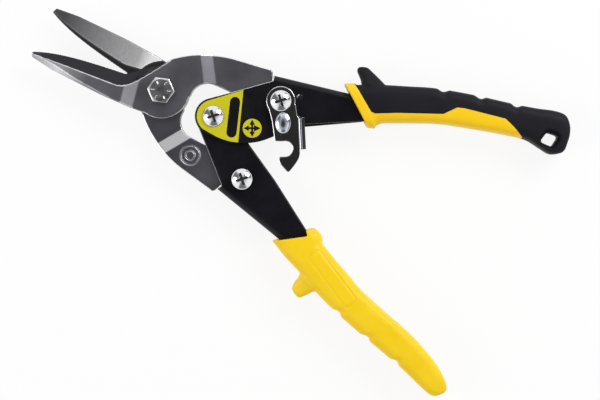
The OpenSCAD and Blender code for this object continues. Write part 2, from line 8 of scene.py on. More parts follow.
import bpy
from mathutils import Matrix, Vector


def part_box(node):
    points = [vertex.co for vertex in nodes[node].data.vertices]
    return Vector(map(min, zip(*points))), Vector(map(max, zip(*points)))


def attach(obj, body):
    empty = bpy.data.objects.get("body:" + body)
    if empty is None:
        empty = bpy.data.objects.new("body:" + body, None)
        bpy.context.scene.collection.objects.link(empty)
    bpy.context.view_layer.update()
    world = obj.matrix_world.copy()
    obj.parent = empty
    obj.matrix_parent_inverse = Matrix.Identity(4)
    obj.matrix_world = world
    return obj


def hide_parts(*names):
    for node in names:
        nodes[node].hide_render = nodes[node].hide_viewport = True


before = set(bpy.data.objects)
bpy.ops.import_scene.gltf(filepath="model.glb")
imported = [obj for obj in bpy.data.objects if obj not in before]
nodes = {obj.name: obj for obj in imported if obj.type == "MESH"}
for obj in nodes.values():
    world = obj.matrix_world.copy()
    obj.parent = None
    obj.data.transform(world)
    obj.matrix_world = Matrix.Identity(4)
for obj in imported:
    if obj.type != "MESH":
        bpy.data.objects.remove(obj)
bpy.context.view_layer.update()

MM = 0.001


def middle(node):
    """A node's middle in the part's frame."""
    low, high = (Vector(corner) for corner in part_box(node))
    return (low + high) / 2


PIVOT = Vector((middle("pivot_bolt").x, middle("pivot_bolt").y, middle("lower_grip").z))


def at(x, y, z=0.0):
    """A point given in millimetres about the main pivot, in the part's frame."""
    return PIVOT + Vector((x, y, z)) * MM


# The handle pivot in plan, and the top of the upper handle's near cheek
HANDLE_PIVOT = ((middle("handle_pivot_screw") - PIVOT) / MM).to_2d()
CHEEK_TOP = (Vector(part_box("latch_washer")[0]).z - PIVOT.z) / MM


# Outlines

def arc(centre, radius, start, end, steps):
    """Points from one angle to another, in degrees."""
    turns = (math.radians(start + (end - start) * i / steps) for i in range(steps + 1))
    return [(centre[0] + radius * math.cos(a), centre[1] + radius * math.sin(a)) for a in turns]


def circle(centre, radius, points=48):
    return arc(centre, radius, 0, 360 - 360 / points, points - 1)


def bezier(a, b, c, d, steps):
    """Points on the curve from a to d that b and c pull."""
    points = []
    for i in range(steps + 1):
        t = i / steps
        s = 1 - t
        weights = (s ** 3, 3 * s * s * t, 3 * s * t * t, t ** 3)
        points.append(tuple(sum(w * p[k] for w, p in zip(weights, (a, b, c, d))) for k in range(2)))
    return points


def stadium(start, end, width, steps=10):
    """A slot's outline: two straight sides and round ends."""
    lean = math.degrees(math.atan2(end[1] - start[1], end[0] - start[0]))
    return (arc(end, width / 2, lean - 90, lean + 90, steps)
            + arc(start, width / 2, lean + 90, lean + 270, steps))


def smooth_rows(rows, steps):
    """A smooth run through rows of numbers, with `steps` rows between neighbours."""
    last = len(rows) - 1
    out = []
    for i in range(last):
        a, b, c, d = rows[max(i - 1, 0)], rows[i], rows[i + 1], rows[min(i + 2, last)]
        for k in range(steps):
            t = k / steps
            out.append([(2 * q + (r - p) * t + (2 * p - 5 * q + 4 * r - s) * t * t
                         + (3 * q - p - 3 * r + s) * t ** 3) / 2 for p, q, r, s in zip(a, b, c, d)])
    return out + [list(rows[last])]


# Meshes

# A moulding's mesh size and its rounds of smoothing, and the share of the way that a round moves each point
MOULD_GRAIN = 0.42
MOULD_ROUNDS = 7
SMOOTH_SHARE = 0.5

# The angle from which an edge of a new piece shades sharp, in degrees
SHARP_ANGLE = 40

# How far a tool that cuts right through reaches up and down
THROUGH = 20


def placed(name, data):
    """A new object in the scene."""
    obj = bpy.data.objects.new(name, data)
    bpy.context.scene.collection.objects.link(obj)
    return obj


def mesh_object(name, points, faces):
    """A piece from points in millimetres about the main pivot."""
    mesh = bpy.data.meshes.new(name)
    mesh.from_pydata([at(*p) for p in points], [], faces)
    mesh.validate()
    return placed(name, mesh)


def loft(name, rings):
    """A closed skin over rings of equal count, with flat ends."""
    count = len(rings[0])
    points = [p for ring in rings for p in ring]
    faces = []
    for i in range(len(rings) - 1):
        for k in range(count):
            j = (k + 1) % count
            faces.append((i * count + k, i * count + j, (i + 1) * count + j, (i + 1) * count + k))
    faces.append(tuple(reversed(range(count))))
    faces.append(tuple(range((len(rings) - 1) * count, len(rings) * count)))
    obj = mesh_object(name, points, faces)
    point_outwards(obj)
    return obj


def prism(name, outline, low, high):
    """An outline stood upright between two heights."""
    return loft(name, [[(x, y, z) for x, y in outline] for z in (low, high)])


def point_outwards(obj):
    bpy.context.view_layer.objects.active = obj
    bpy.ops.object.mode_set(mode="EDIT")
    bpy.ops.mesh.select_all(action="SELECT")
    bpy.ops.mesh.normals_make_consistent(inside=False)
    bpy.ops.object.mode_set(mode="OBJECT")


def settled_mesh(obj):
    """The mesh that an object's curve or modifiers come to."""
    evaluated = obj.evaluated_get(bpy.context.evaluated_depsgraph_get())
    return bpy.data.meshes.new_from_object(evaluated)


def settle(obj):
    """Turns the object's modifiers into its mesh."""
    mesh = settled_mesh(obj)
    obj.modifiers.clear()
    obj.data = mesh


def cut(obj, tool, operation="DIFFERENCE", keep_tool=False):
    """Takes a tool out of a piece, or joins the two, or leaves only what they share."""
    step = obj.modifiers.new("cut", "BOOLEAN")
    step.operation = operation
    step.solver = "MANIFOLD"
    step.object = tool
    settle(obj)
    if not keep_tool:
        bpy.data.objects.remove(tool)


def copied(obj, name):
    return placed(name, obj.data.copy())


def soften(obj, grain, rounds):
    """Modifiers that round every edge and inside corner, over an even mesh."""
    even = obj.modifiers.new("even", "REMESH")
    even.mode = "VOXEL"
    even.voxel_size = grain * MM
    even.use_smooth_shade = True
    soft = obj.modifiers.new("soft", "SMOOTH")
    soft.factor = SMOOTH_SHARE
    soft.iterations = rounds


def moulded(obj):
    soften(obj, MOULD_GRAIN, MOULD_ROUNDS)
    settle(obj)


def smooth_shaded(obj):
    obj.data.shade_smooth()
    obj.data.set_sharp_from_angle(angle=math.radians(SHARP_ANGLE))


# Grips

# A grip's half thickness, how far its faces stay inside that, the lip's height, how boxy the section is, and
# a finger notch's depth and half length
GRIP_HALF = 9.5
FACE_ROOM = 0.15
COLLAR_LIP = 0.9
SQUARENESS = 4
NOTCH_DEPTH = 1.25
NOTCH_HALF = 2.4

# Steps from row to row of the lip, the body and the guard, and the body's first steps, which the lip covers
LIP_STEPS = 4
BODY_STEPS = 16
GUARD_STEPS = 6
UNDER_LIP = 2

# Rows of a grip: outer edge x, y, inner edge x, y, and half thickness
UPPER_ROWS = [
    (79.2, 42.4, 96.1, 29.0, 9.2), (84.0, 44.8, 98.4, 32.0, 9.4), (91.4, 48.4, 104.8, 35.3, 9.5),
    (102.0, 52.9, 112.8, 39.2, 9.5), (113.4, 57.6, 123.0, 43.8, 9.5), (130.6, 62.7, 139.0, 48.9, 9.3),
    (147.7, 66.9, 152.6, 52.8, 8.8), (159.4, 70.1, 161.6, 54.8, 8.2), (167.5, 72.8, 168.6, 54.2, 7.6),
    (173.2, 73.3, 174.6, 53.8, 7.2), (177.0, 70.0, 178.9, 56.4, 6.6), (178.9, 66.0, 180.0, 58.4, 5.0)]
LOWER_ROWS = [
    (83.9, -43.0, 98.2, -30.3, 9.3), (87.6, -44.5, 100.9, -31.6, 9.4), (94.3, -47.0, 108.2, -34.9, 9.5),
    (104.8, -51.6, 116.4, -38.3, 9.5), (115.0, -55.3, 123.8, -41.6, 9.5), (128.2, -59.0, 138.7, -45.9, 9.3),
    (144.3, -62.9, 152.8, -49.6, 8.8), (158.2, -66.4, 162.0, -53.0, 8.4), (168.8, -69.8, 169.6, -56.4, 8.0),
    (175.4, -71.1, 174.8, -59.6, 7.2), (179.2, -68.4, 178.6, -62.8, 5.6), (180.4, -66.4, 180.0, -64.6, 3.4)]

# Rows of the front lip, each with its share of the lip's height
UPPER_MOUTH = [(75.2, 40.2, 92.5, 27.7, 9.2, 1), (79.2, 42.4, 96.1, 29.0, 9.2, 1)]
LOWER_MOUTH = [(76.8, -39.6, 89.9, -27.0, 9.2, 0.4), (78.2, -40.3, 91.3, -26.3, 9.2, 1),
               (80.0, -41.1, 94.6, -27.4, 9.2, 1.3), (81.6, -41.9, 96.6, -28.9, 9.2, 1.2)]

# The lower mouth between its two ears, where both faces stand back from the handle
LOWER_MOUTH_CUT = [(77.0, -36.6), (79.3, -38.2), (90.7, -30.4), (88.4, -27.8), (84.0, -25.0)]

# Where the finger notches sit, as x on the outer edge
UPPER_NOTCHES = (116.6, 133.6, 150.4)
LOWER_NOTCHES = (118.6, 135.6, 153.0)

# Guards as rows from inside the grip out to the tip
UPPER_GUARD = [(88.5, 40.4, 94.9, 43.3, 8.6), (82.4, 43.8, 93.0, 47.6, 8.2), (80.5, 45.9, 90.3, 49.2, 6.6),
               (77.4, 48.6, 83.8, 51.4, 5.2), (77.0, 50.3, 81.5, 52.1, 4.4), (78.4, 51.4, 80.3, 52.1, 3.0)]
LOWER_GUARD = [(106.3, -42.8, 97.9, -41.4, 8.6), (105.6, -50.4, 95.6, -46.6, 8.3),
               (103.9, -53.2, 95.3, -49.9, 6.5), (102.3, -55.3, 94.7, -52.9, 5.6),
               (100.3, -57.6, 95.1, -55.6, 4.6), (98.9, -57.9, 96.9, -57.0, 3.0)]

# The yellow core's plan: the collar and the strip along the inner edge
CORE_PLAN = [(68, 47), (78.6, 42.6), (91.4, 34.2), (93.3, 34.2), (102.8, 39.2), (121.8, 48.1),
             (123.6, 50.4), (126.2, 53.6), (129.5, 54.8), (148.4, 58.9), (153.6, 57.3), (159.4, 54.8),
             (160, 48), (96, 20), (68, 24)]

# The hang eye near the end of the upper grip: corners of its plan, and its levels with their corner radius
EYE_CORNERS = [(169.0, 57.9), (173.0, 58.1), (173.4, 61.8), (169.7, 61.3)]
EYE_LEVELS = ((-12, 4.9), (-3.4, 1.0), (3.4, 1.0), (12, 4.9))

# Room for a handle's end: its plan and its heights in the upper grip. The lower grip has it turned over
POCKET_PLAN = [(43.2, 29.5), (88.9, 39.9), (90.3, 37.8), (145.5, 61.5), (147.5, 56.7), (94.1, 33.2),
               (90.4, 28.5), (66, 14.8)]
POCKET_HEIGHTS = (-4.2, 6.35)


def rounded(value):
    """A cosine or sine drawn out towards a box's corner."""
    return math.copysign(abs(value) ** (2 / SQUARENESS), value)


def notch_at(x, places):
    """How deep the finger notches cut in at a place along the grip."""
    return max((NOTCH_DEPTH * max(0, 1 - ((x - p) / NOTCH_HALF) ** 2) for p in places), default=0)


def grip_ring(row, places=(), lip_out=0.0, lip_in=0.0, points=56):
    """A rounded box between a row's two edges, grown by the lip and cut in by a notch."""
    outer, inner = Vector(row[:2]), Vector(row[2:4])
    across = (outer - inner).normalized()
    outer = outer + across * (lip_out - notch_at(row[0], places))
    inner = inner - across * lip_in
    mid, half = (outer + inner) / 2, (outer - inner) / 2
    height = min(row[4] + lip_out, GRIP_HALF) - FACE_ROOM
    ring = []
    for k in range(points):
        turn = 2 * math.pi * k / points
        p = mid + half * rounded(math.cos(turn))
        ring.append((p.x, p.y, height * rounded(math.sin(turn))))
    return ring


def grip_body(name, mouth, rows, places, guard, lip_all_round):
    """Lip and body in one skin, with the guard moulded on."""
    lip = []
    for row in smooth_rows(mouth, LIP_STEPS):
        high = COLLAR_LIP * row[5]
        lip.append(grip_ring(row, places, high if lip_all_round else 0, high))
    body = [grip_ring(row, places) for row in smooth_rows(rows, BODY_STEPS)[UNDER_LIP:]]
    grip = loft(name, lip + body)
    cut(grip, loft("guard", [grip_ring(row) for row in smooth_rows(guard, GUARD_STEPS)]), "UNION")
    return grip


def round_ring(corners, radius, steps=6):
    """A plan with its corners at a radius, run counter-clockwise."""
    ring = []
    for k, corner in enumerate(corners):
        before, after = corners[k - 1], corners[(k + 1) % len(corners)]
        into = math.degrees(math.atan2(corner[1] - before[1], corner[0] - before[0]))
        out = math.degrees(math.atan2(after[1] - corner[1], after[0] - corner[0]))
        ring += arc(corner, radius, into - 90, into - 90 + (out - into) % 360, steps)
    return ring


def hang_eye():
    """The hole, flared towards both faces."""
    return loft("eye", [[(x, y, z) for x, y in round_ring(EYE_CORNERS, radius)] for z, radius in EYE_LEVELS])


def handle_pocket(sign):
    """The tool that makes room for the handle's end, open at the grip's mouth."""
    plan = [(x, sign * y) for x, y in POCKET_PLAN]
    return prism("pocket", plan, *sorted(sign * z for z in POCKET_HEIGHTS))


def upper_grip():
    """One moulding, parted into the yellow core and the black cover."""
    whole = grip_body("grip", UPPER_MOUTH, UPPER_ROWS, UPPER_NOTCHES, UPPER_GUARD, lip_all_round=True)
    cut(whole, hang_eye())
    moulded(whole)
    cut(whole, handle_pocket(1))
    core_room = prism("core_room", CORE_PLAN, -THROUGH, THROUGH)
    core = copied(whole, "yellow_grip_core")
    cut(core, core_room, "INTERSECT", keep_tool=True)
    cover = whole
    cover.name = "black_grip_cover"
    cut(cover, core_room)
    return core, cover


# The bare panel on the lower grip, its rim's half width and depth, and the share of the grip's half thickness
# above which the face lies
PANEL_ENDS = ((96.8, -36.3), (123.0, -49.5))
PANEL_WIDTH = 6.2
PANEL_CORNER = 1.2
PANEL_RIM = 0.4
PANEL_DEPTH = 0.3
PANEL_FACE = 0.6


def press_panel(grip):
    """Sinks a line around the bare panel on the grip's upper face."""
    start, end = (Vector(p) for p in PANEL_ENDS)
    run = (end - start).normalized()
    flat_half = Vector(((end - start).length, PANEL_WIDTH)) / 2 - Vector((PANEL_CORNER, PANEL_CORNER))
    for vertex in grip.data.vertices:
        p = (vertex.co - PIVOT) / MM
        if p.z < PANEL_FACE * GRIP_HALF:
            continue
        away = p.to_2d() - (start + end) / 2
        past = Vector((abs(away.dot(run)), abs(away.cross(run)))) - flat_half
        outside = Vector((max(past.x, 0), max(past.y, 0))).length
        off = outside + min(max(past), 0) - PANEL_CORNER
        vertex.co.z -= PANEL_DEPTH * MM * math.exp(-(off / PANEL_RIM) ** 2)


def lower_grip():
    """One moulding with a mouth between two ears and a bare panel on its face."""
    grip = grip_body("yellow_lower_grip", LOWER_MOUTH, LOWER_ROWS, LOWER_NOTCHES, LOWER_GUARD,
                     lip_all_round=False)
    cut(grip, prism("mouth_cut", LOWER_MOUTH_CUT, -THROUGH, THROUGH))
    moulded(grip)
    press_panel(grip)
    cut(grip, handle_pocket(-1))
    return grip


# Label film on the upper handle

# The film sinks a little into the cheek. The bar and the disc are printed on it, and the sign on the disc
FILM_THICK = 0.03
FILM_SUNK = 0.01
PRINT_THICK = 0.015
FILM_LOW = CHEEK_TOP - FILM_SUNK
FILM_TOP = CHEEK_TOP + FILM_THICK
PRINT_TOP = FILM_TOP + PRINT_THICK
SIGN_TOP = PRINT_TOP + PRINT_THICK

# The yellow field round the pivot screw: its nose as radius, angles and steps, its foot, and two far corners
SCREW_ROOM = 4.95
NOSE_R = 7.6
NOSE_ARC = (128, 258, 26)
FOOT_CURVE = ((29.6, -7.7), (34.5, -8.1), (39.5, -7.2))
FOOT_STEPS = 8
FIELD_TOP = (34.0, 17.05)
FIELD_LOW = (42.6, -5.75)

# The black field's edge from the foot round to the top
BLACK_EDGE = [(47.6, -2.0), (52.2, 1.9), (49.5, 9.6), (44.4, 15.8), (42.4, 24.2)]

# The bare bar and the disc
BAR_ENDS = ((33.0, 10.4), (37.8, -3.0))
BAR_WIDTH = 4.7
DISC_AT = Vector((45.5, 3.0))
DISC_R = 4.4

# The cutting sign about the disc's middle: the stem's half width, the reach of its four points, and where the
# heads and the tail begin, with their half widths
ARROW_STEM = 0.45
ARROW_REACH = 4.0
ARROW_HEAD = (1.6, 1.3)
ARROW_TAIL = (0.8, 1.5)
SIGN_TURN = 116


def film(name, outline, top, hole=None):
    piece = prism(name, outline, FILM_LOW, top)
    if hole:
        cut(piece, prism("hole", hole, -THROUGH, THROUGH))
    return piece


def cutting_sign():
    """One outline: an arrow ahead and one to each side, on a tail that narrows to a point."""
    outline = []
    for turn, (neck, wing) in ((0, ARROW_HEAD), (90, ARROW_HEAD), (180, ARROW_HEAD), (270, ARROW_TAIL)):
        lean = math.radians(turn + SIGN_TURN)
        arm = [(neck, -ARROW_STEM), (neck, -wing), (ARROW_REACH, 0), (neck, wing), (neck, ARROW_STEM),
               (ARROW_STEM, ARROW_STEM)]
        outline += [(DISC_AT.x + x * math.cos(lean) - y * math.sin(lean),
                     DISC_AT.y + x * math.sin(lean) + y * math.cos(lean)) for x, y in arm]
    return outline


def label_pieces():
    """The label's layers, each with its colour."""
    field = (arc(HANDLE_PIVOT, NOSE_R, *NOSE_ARC) + bezier(*FOOT_CURVE, FIELD_LOW, FOOT_STEPS)
             + [FIELD_TOP])
    black = [FIELD_TOP, FIELD_LOW] + BLACK_EDGE
    return [
        (film("label_yellow_field", field, FILM_TOP, circle(HANDLE_PIVOT, SCREW_ROOM)), "yellow"),
        (film("label_black_field", black, FILM_TOP), "black"),
        (film("label_black_bar", stadium(*BAR_ENDS, BAR_WIDTH), PRINT_TOP), "black"),
        (film("label_disc", circle(DISC_AT, DISC_R), PRINT_TOP), "yellow"),
        (film("label_sign", cutting_sign(), SIGN_TOP), "black")]


# Return spring

# The wire, the coil, the straight legs with their hooks, and the second leg's root inside the coil
WIRE_D = 1.3
WIRE_ROUNDNESS = 4
COIL_R = 5.3
LEG_LEN = 13.2
COIL_TURNS = 1.5
COIL_STEPS = 36
COIL_RISE = 2.69
HOOK_DEPTH = 1.4
HOOK_BEND = 0.6
ROOT_STEPS = 5
ROOT_ROOM = 0.04


def round_wire(name, points, thickness):
    """A round wire along a run of points about the handle pivot."""
    line = bpy.data.curves.new("wire_line", "CURVE")
    line.dimensions = "3D"
    line.bevel_depth = thickness / 2 * MM
    line.bevel_resolution = WIRE_ROUNDNESS
    line.use_fill_caps = True
    run = line.splines.new("POLY")
    run.points.add(len(points) - 1)
    for spot, (x, y, z) in zip(run.points, points):
        spot.co = (*at(HANDLE_PIVOT.x + x, HANDLE_PIVOT.y + y, z), 1)
    path = placed("wire_path", line)
    mesh = settled_mesh(path)
    bpy.data.objects.remove(path)
    return placed(name, mesh)


def return_spring():
    """Hook, leg and coil as one wire. The other leg turns with the lower handle, and its root runs inside the
    coil's last bend, out of which it slides as the handles close and wind the coil tighter."""
    low = -COIL_RISE / 2
    leg = [(LEG_LEN, COIL_R, low - HOOK_DEPTH), (LEG_LEN, COIL_R, low - HOOK_BEND),
           (LEG_LEN - HOOK_BEND, COIL_R, low), (LEG_LEN / 2, COIL_R, low)]
    coil = []
    for i in range(COIL_STEPS + 1):
        turn = math.pi / 2 + 2 * math.pi * COIL_TURNS * i / COIL_STEPS
        coil.append((COIL_R * math.cos(turn), COIL_R * math.sin(turn), low + COIL_RISE * i / COIL_STEPS))
    far_leg = [(x, -y, -z) for x, y, z in reversed(leg)]
    return (round_wire("round_return_spring", leg + coil, WIRE_D),
            round_wire("return_spring_far_leg", coil[-ROOT_STEPS:] + far_leg, WIRE_D - ROOT_ROOM))


# Edges of the CAD pieces

# Angles in degrees: under which faces count as one flat, from which an edge is eased, and from which one left
# over shades sharp
FLAT_ANGLE = 0.4
EASE_ANGLE = 32
SHADE_ANGLE = 38
EASE_SEGMENTS = 3

# How far apart points may lie that are joined
JOIN_REACH = 0.002


def edge_shading():
    """A geometry node group that shades smooth up to an angle."""
    group = bpy.data.node_groups.new("shade_by_angle", "GeometryNodeTree")
    group.interface.new_socket("Geometry", in_out="INPUT", socket_type="NodeSocketGeometry")
    group.interface.new_socket("Geometry", in_out="OUTPUT", socket_type="NodeSocketGeometry")
    into = group.nodes.new("NodeGroupInput")
    out = group.nodes.new("NodeGroupOutput")
    faces = group.nodes.new("GeometryNodeSetShadeSmooth")
    faces.domain = "FACE"
    edges = group.nodes.new("GeometryNodeSetShadeSmooth")
    edges.domain = "EDGE"
    edges.inputs["Shade Smooth"].default_value = False
    angle = group.nodes.new("GeometryNodeInputMeshEdgeAngle")
    steep = group.nodes.new("FunctionNodeCompare")
    steep.operation = "GREATER_THAN"
    steep.inputs["B"].default_value = math.radians(SHADE_ANGLE)
    group.links.new(into.outputs["Geometry"], faces.inputs["Geometry"])
    group.links.new(faces.outputs["Geometry"], edges.inputs["Geometry"])
    group.links.new(angle.outputs["Unsigned Angle"], steep.inputs["A"])
    group.links.new(steep.outputs["Result"], edges.inputs["Selection"])
    group.links.new(edges.outputs["Geometry"], out.inputs["Geometry"])
    return group


SHADE_BY_ANGLE = edge_shading()


def joined(node):
    """A node's object, with its faces joined along their shared edges."""
    obj = nodes[node]
    join = obj.modifiers.new("join", "WELD")
    join.merge_threshold = JOIN_REACH * MM
    return obj


def tumble(node, grain, rounds):
    """Rounds every edge of a forged or pressed piece alike, as tumbling with stones does."""
    soften(joined(node), grain, rounds)


def ease_edges(node, width):
    """Takes the sharpness off a turned piece's edges, so that they catch the light."""
    obj = joined(node)
    flat = obj.modifiers.new("flat", "DECIMATE")
    flat.decimate_type = "DISSOLVE"
    flat.angle_limit = math.radians(FLAT_ANGLE)
    ease = obj.modifiers.new("ease", "BEVEL")
    ease.width = width * MM
    ease.segments = EASE_SEGMENTS
    ease.limit_method = "ANGLE"
    ease.angle_limit = math.radians(EASE_ANGLE)
    shade = obj.modifiers.new("shade", "NODES")
    shade.node_group = SHADE_BY_ANGLE
    even = obj.modifiers.new("even", "WEIGHTED_NORMAL")
    even.keep_sharp = True


# Finishes

FLOAT = "NodeSocketFloat"
COLOUR = "NodeSocketColor"
VECTOR = "NodeSocketVector"


def shader_group(name, inputs, outputs):
    """A new node group, with its input and output nodes."""
    group = bpy.data.node_groups.new(name, "ShaderNodeTree")
    for label, kind, value in inputs:
        socket = group.interface.new_socket(label, in_out="INPUT", socket_type=kind)
        socket.default_value = value
    for label, kind in outputs:
        group.interface.new_socket(label, in_out="OUTPUT", socket_type=kind)
    return group, group.nodes.new("NodeGroupInput"), group.nodes.new("NodeGroupOutput")


def group_node(tree, group, **values):
    """A group placed in a tree, with its own values."""
    node = tree.nodes.new("ShaderNodeGroup")
    node.node_tree = group
    for key, value in values.items():
        node.inputs[key.title()].default_value = value
    return node


def calculator(tree):
    """A short way to write sums as nodes of a tree."""
    def work(operation, *terms):
        node = tree.nodes.new("ShaderNodeMath")
        node.operation = operation
        for socket, term in zip(node.inputs, terms):
            if isinstance(term, (int, float)):
                socket.default_value = term
            else:
                tree.links.new(term, socket)
        return node.outputs["Value"]
    return work


def soft_step(tree, value, start, end, low=0.0, high=1.0):
    """Goes from low to high while the value goes from start to end."""
    node = tree.nodes.new("ShaderNodeMapRange")
    for label, number in (("From Min", start), ("From Max", end), ("To Min", low), ("To Max", high)):
        node.inputs[label].default_value = number
    tree.links.new(value, node.inputs["Value"])
    return node.outputs["Result"]


def own_directions(tree):
    """The piece's own place and facing, as x, y and z."""
    place = tree.nodes.new("ShaderNodeTexCoord")
    spot = tree.nodes.new("ShaderNodeSeparateXYZ")
    facing = tree.nodes.new("ShaderNodeSeparateXYZ")
    tree.links.new(place.outputs["Object"], spot.inputs["Vector"])
    tree.links.new(place.outputs["Normal"], facing.inputs["Vector"])
    return spot.outputs, facing.outputs


def distance_to(work, spot, x, y):
    """The distance in plan from a place."""
    return work("SQRT", work("ADD", work("POWER", work("SUBTRACT", spot["X"], x), 2),
                             work("POWER", work("SUBTRACT", spot["Y"], y), 2)))


def blend(tree, mask, under, over, kind="FLOAT"):
    """Lays a number or a colour over what a socket gives, by a mask."""
    mix = tree.nodes.new("ShaderNodeMix")
    mix.data_type = kind
    mix.inputs["B"].default_value = over
    tree.links.new(mask, mix.inputs["Factor"])
    tree.links.new(under, mix.inputs["A"])
    return mix.outputs["Result"]


def tint(tree, mask, under, colour):
    return blend(tree, mask, under, (*colour, 1), "RGBA")


# The part of a noise's range that goes from one colour to the other, and the grain's height
CLOUD_SPREAD = (0.3, 0.7)
GRAIN_HEIGHT = 0.05


def mottle_group():
    """Slow cloudiness between two colours, with a matching spread of roughness."""
    group, into, out = shader_group(
        "cloudy_tone",
        [("Scale", FLOAT, 90), ("First", COLOUR, (0.5, 0.5, 0.5, 1)), ("Second", COLOUR, (0.6, 0.6, 0.6, 1)),
         ("Smoothest", FLOAT, 0.3), ("Roughest", FLOAT, 0.5)],
        [("Color", COLOUR), ("Roughness", FLOAT)])
    link = group.links.new
    place = group.nodes.new("ShaderNodeTexCoord")
    cloud = group.nodes.new("ShaderNodeTexNoise")
    cloud.inputs["Detail"].default_value = 5
    cloud.inputs["Roughness"].default_value = 0.6
    mix = group.nodes.new("ShaderNodeMix")
    mix.data_type = "RGBA"
    rough = group.nodes.new("ShaderNodeMapRange")
    link(place.outputs["Object"], cloud.inputs["Vector"])
    link(into.outputs["Scale"], cloud.inputs["Scale"])
    spread = soft_step(group, cloud.outputs["Fac"], *CLOUD_SPREAD)
    link(spread, mix.inputs["Factor"])
    link(into.outputs["First"], mix.inputs["A"])
    link(into.outputs["Second"], mix.inputs["B"])
    link(spread, rough.inputs["Value"])
    link(into.outputs["Smoothest"], rough.inputs["To Min"])
    link(into.outputs["Roughest"], rough.inputs["To Max"])
    link(mix.outputs["Result"], out.inputs["Color"])
    link(rough.outputs["Result"], out.inputs["Roughness"])
    return group


def grain_group():
    """Fine surface grain as a normal."""
    group, into, out = shader_group(
        "fine_grain", [("Scale", FLOAT, 2500), ("Depth", FLOAT, 0.1)], [("Normal", VECTOR)])
    link = group.links.new
    place = group.nodes.new("ShaderNodeTexCoord")
    grain = group.nodes.new("ShaderNodeTexNoise")
    grain.inputs["Detail"].default_value = 3
    bump = group.nodes.new("ShaderNodeBump")
    bump.inputs["Distance"].default_value = GRAIN_HEIGHT * MM
    link(place.outputs["Object"], grain.inputs["Vector"])
    link(into.outputs["Scale"], grain.inputs["Scale"])
    link(grain.outputs["Fac"], bump.inputs["Height"])
    link(into.outputs["Depth"], bump.inputs["Strength"])
    link(bump.outputs["Normal"], out.inputs["Normal"])
    return group


CLOUDY_TONE = mottle_group()
FINE_GRAIN = grain_group()


def finish(name, first, second, smoothest, roughest, metallic=0.0, cloud=90, grain=2500, depth=0.1,
           specular=0.5):
    """A material whose tone and gloss drift slowly, over a fine grain."""
    material = bpy.data.materials.new(name)
    material.use_nodes = True
    tree = material.node_tree
    shader = tree.nodes["Principled BSDF"]
    shader.inputs["Metallic"].default_value = metallic
    shader.inputs["Specular IOR Level"].default_value = specular
    tone = group_node(tree, CLOUDY_TONE, scale=cloud, first=(*first, 1), second=(*second, 1),
                      smoothest=smoothest, roughest=roughest)
    fine = group_node(tree, FINE_GRAIN, scale=grain, depth=depth)
    tree.links.new(tone.outputs["Color"], shader.inputs["Base Color"])
    tree.links.new(tone.outputs["Roughness"], shader.inputs["Roughness"])
    tree.links.new(fine.outputs["Normal"], shader.inputs["Normal"])
    return material


# By how upright a face looks: where a slightly leaning band starts and is whole, where an edge does, and
# where a wall ends
BAND_LEAN = (0.996, 0.985)
EDGE_LEAN = (0.965, 0.90)
WALL_LEAN = (0.12, 0.35)

# How much painted highlight a band that leans towards the jaws gets, on the lower and on the upper side, and
# the facings between which it comes to lean that way
JAW_BAND_HIGHLIGHT = (0.47, 0.92)
TO_JAWS = (0.03, -0.03)
TO_UPPER_SIDE = (-0.02, 0.05)


def edge_highlight_group():
    """Where a highlight is painted: where a piece leans away from lying flat, as on its eased edges and on
    bands that lean towards the jaws.
    """
    group, _, out = shader_group("painted_edge_highlight", [], [("Mask", FLOAT)])
    work = calculator(group)
    facing = own_directions(group)[1]
    upright = work("ABSOLUTE", facing["Z"])
    share = work("MULTIPLY", soft_step(group, facing["X"], *TO_JAWS),
                 soft_step(group, facing["Y"], *TO_UPPER_SIDE, *JAW_BAND_HIGHLIGHT))
    bands = work("MULTIPLY", soft_step(group, upright, *BAND_LEAN), share)
    edges = soft_step(group, upright, *EDGE_LEAN)
    standing = soft_step(group, upright, *WALL_LEAN)
    group.links.new(work("MULTIPLY", work("MAXIMUM", bands, edges), standing), out.inputs["Mask"])
    return group


EDGE_HIGHLIGHT = edge_highlight_group()


def paint_edge_highlight(material, colour, kept_from):
    """Paints a highlight on the eased edges over a piece's tone, apart from where a mask keeps it off."""
    tree = material.node_tree
    base = tree.nodes["Principled BSDF"].inputs["Base Color"]
    # The painted highlight, less where the mask keeps it off
    highlight_mask = group_node(tree, EDGE_HIGHLIGHT).outputs["Mask"]
    mask = calculator(tree)("SUBTRACT", highlight_mask, kept_from)
    tree.links.new(tint(tree, mask, base.links[0].from_socket, colour), base)


# Streaks across a ground face: how fine they are each way, the part of a noise's range that they take, how
# strongly they show, and their tone
STREAKS = (2200, 350, 350)
STREAK_SPREAD = (0.35, 0.65)
STREAK_DEPTH = 0.16
STREAK_TONE = (0.08, 0.08, 0.085)


def grinding_group():
    """Fine streaks that the wheel leaves across a ground face."""
    group, into, out = shader_group("grinding_streaks", [("Depth", FLOAT, 0.2)], [("Mask", FLOAT)])
    place = group.nodes.new("ShaderNodeTexCoord")
    stretch = group.nodes.new("ShaderNodeMapping")
    stretch.inputs["Scale"].default_value = STREAKS
    noise = group.nodes.new("ShaderNodeTexNoise")
    noise.inputs["Scale"].default_value = 1
    noise.inputs["Detail"].default_value = 3
    group.links.new(place.outputs["Object"], stretch.inputs["Vector"])
    group.links.new(stretch.outputs["Vector"], noise.inputs["Vector"])
    streaks = soft_step(group, noise.outputs["Fac"], *STREAK_SPREAD)
    group.links.new(calculator(group)("MULTIPLY", streaks, into.outputs["Depth"]), out.inputs["Mask"])
    return group


